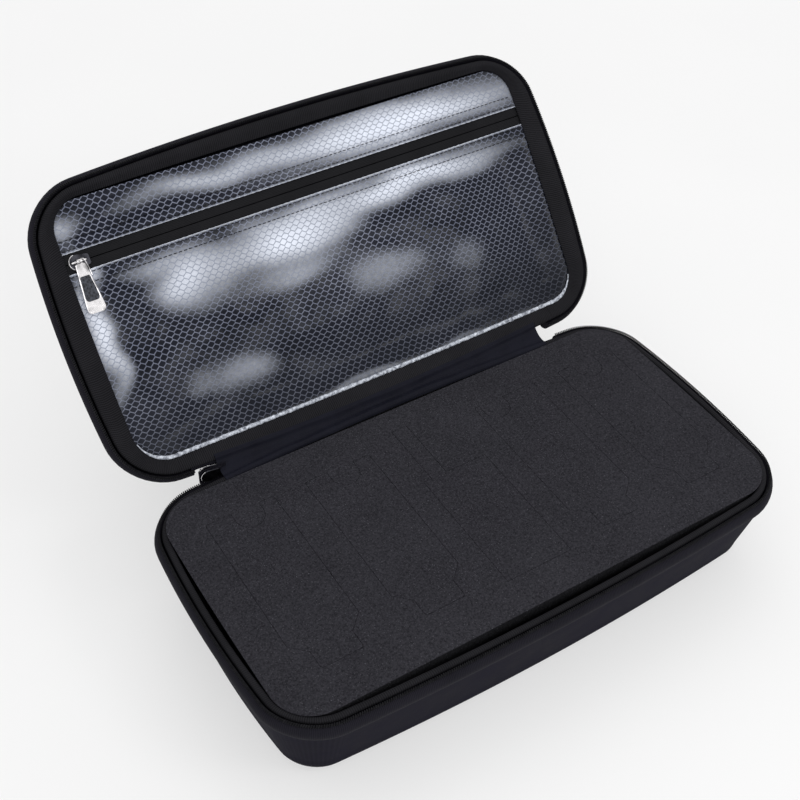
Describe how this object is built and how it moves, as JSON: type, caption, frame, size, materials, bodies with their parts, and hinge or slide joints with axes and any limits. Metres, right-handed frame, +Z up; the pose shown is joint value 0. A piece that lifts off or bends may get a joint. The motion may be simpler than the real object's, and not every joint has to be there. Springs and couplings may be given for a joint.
{
  "type": "lipo safe bag",
  "caption": "Hard-shell zipped carry case for model battery packs, shown open: die-cut foam with lift-out blocks in the base, clear mesh zip pocket in the lid.",
  "frame": {"origin": "middle of the base's flat foot, on the surface it stands on", "axes": "+X along the hinge and the case's length, to the right as seen from the front; +Y from the front towards the hinge; +Z up"},
  "size_m": [0.3564, 0.3365, 0.2104],
  "materials": {
    "shell_fabric": "very dark navy woven nylon over moulded EVA",
    "lining_fabric": "smooth black satin lining",
    "tape": "ribbed black polyester tape",
    "coil": "black nylon coil",
    "foam": "charcoal closed-cell foam, fine grain",
    "film": "clear film over white mesh, glossy",
    "chrome": "polished chrome plate",
    "inlay": "black patterned insert"
  },
  "bodies": {
    "base": {"base_shell": "shell_fabric", "base_lining": "lining_fabric", "base_edge_binding": "tape", "base_zip_tape": "tape", "base_zip_coil": "coil", "foam_base_pad": "foam", "foam_frame": "foam", "hinge_cover": "shell_fabric", "hinge_lining": "lining_fabric", "zip_closed_end": "tape", "main_slider": "chrome"},
    "plug_1": {"foam_plug_1": "foam"},
    "plug_2": {"foam_plug_2": "foam"},
    "plug_3": {"foam_plug_3": "foam"},
    "plug_4": {"foam_plug_4": "foam"},
    "plug_5": {"foam_plug_5": "foam"},
    "lid": {"lid_shell": "shell_fabric", "lid_lining": "lining_fabric", "lid_edge_binding": "tape", "lid_zip_tape": "tape", "lid_zip_coil": "coil", "pocket_panel_far": "film", "pocket_panel_near": "film", "pocket_tape_far": "tape", "pocket_tape_near": "tape", "pocket_coil_far": "coil", "pocket_coil_near": "coil"},
    "pocket_slider": {"pocket_slider": "chrome"},
    "pocket_pull": {"pocket_pull": "chrome", "pocket_pull_inlay": "inlay"},
    "main_pull": {"main_pull": "chrome", "main_pull_inlay": "inlay"}
  },
  "joints": [
    {"name": "lid_hinge", "type": "hinge", "parent": "base", "child": "lid", "pos_m": [0, 0.0954, 0.066], "axis": [1, 0, 0], "range_deg": [0, 130.9], "deforming": ["hinge_cover", "hinge_lining"]},
    {"name": "plug_1_lift", "type": "slide", "parent": "base", "child": "plug_1", "axis": [0, 0, -1], "range_m": [-0.06, 0]},
    {"name": "plug_2_lift", "type": "slide", "parent": "base", "child": "plug_2", "axis": [0, 0, -1], "range_m": [-0.06, 0]},
    {"name": "plug_3_lift", "type": "slide", "parent": "base", "child": "plug_3", "axis": [0, 0, -1], "range_m": [-0.06, 0]},
    {"name": "plug_4_lift", "type": "slide", "parent": "base", "child": "plug_4", "axis": [0, 0, -1], "range_m": [-0.06, 0]},
    {"name": "plug_5_lift", "type": "slide", "parent": "base", "child": "plug_5", "axis": [0, 0, -1], "range_m": [-0.06, 0]},
    {"name": "pocket_slider_travel", "type": "slide", "parent": "lid", "child": "pocket_slider", "axis": [1, 0, 0], "range_m": [0, 0.304]},
    {"name": "pocket_pull_flip", "type": "hinge", "parent": "pocket_slider", "child": "pocket_pull", "pos_m": [-0.152, 0.1904, 0.1717], "axis": [1, 0, 0], "range_deg": [-150, 0]},
    {"name": "main_pull_swing", "type": "hinge", "parent": "base", "child": "main_pull", "pos_m": [-0.1256, 0.09945, 0.066], "axis": [1, 0, 0], "range_deg": [0, 40]}
  ]
}
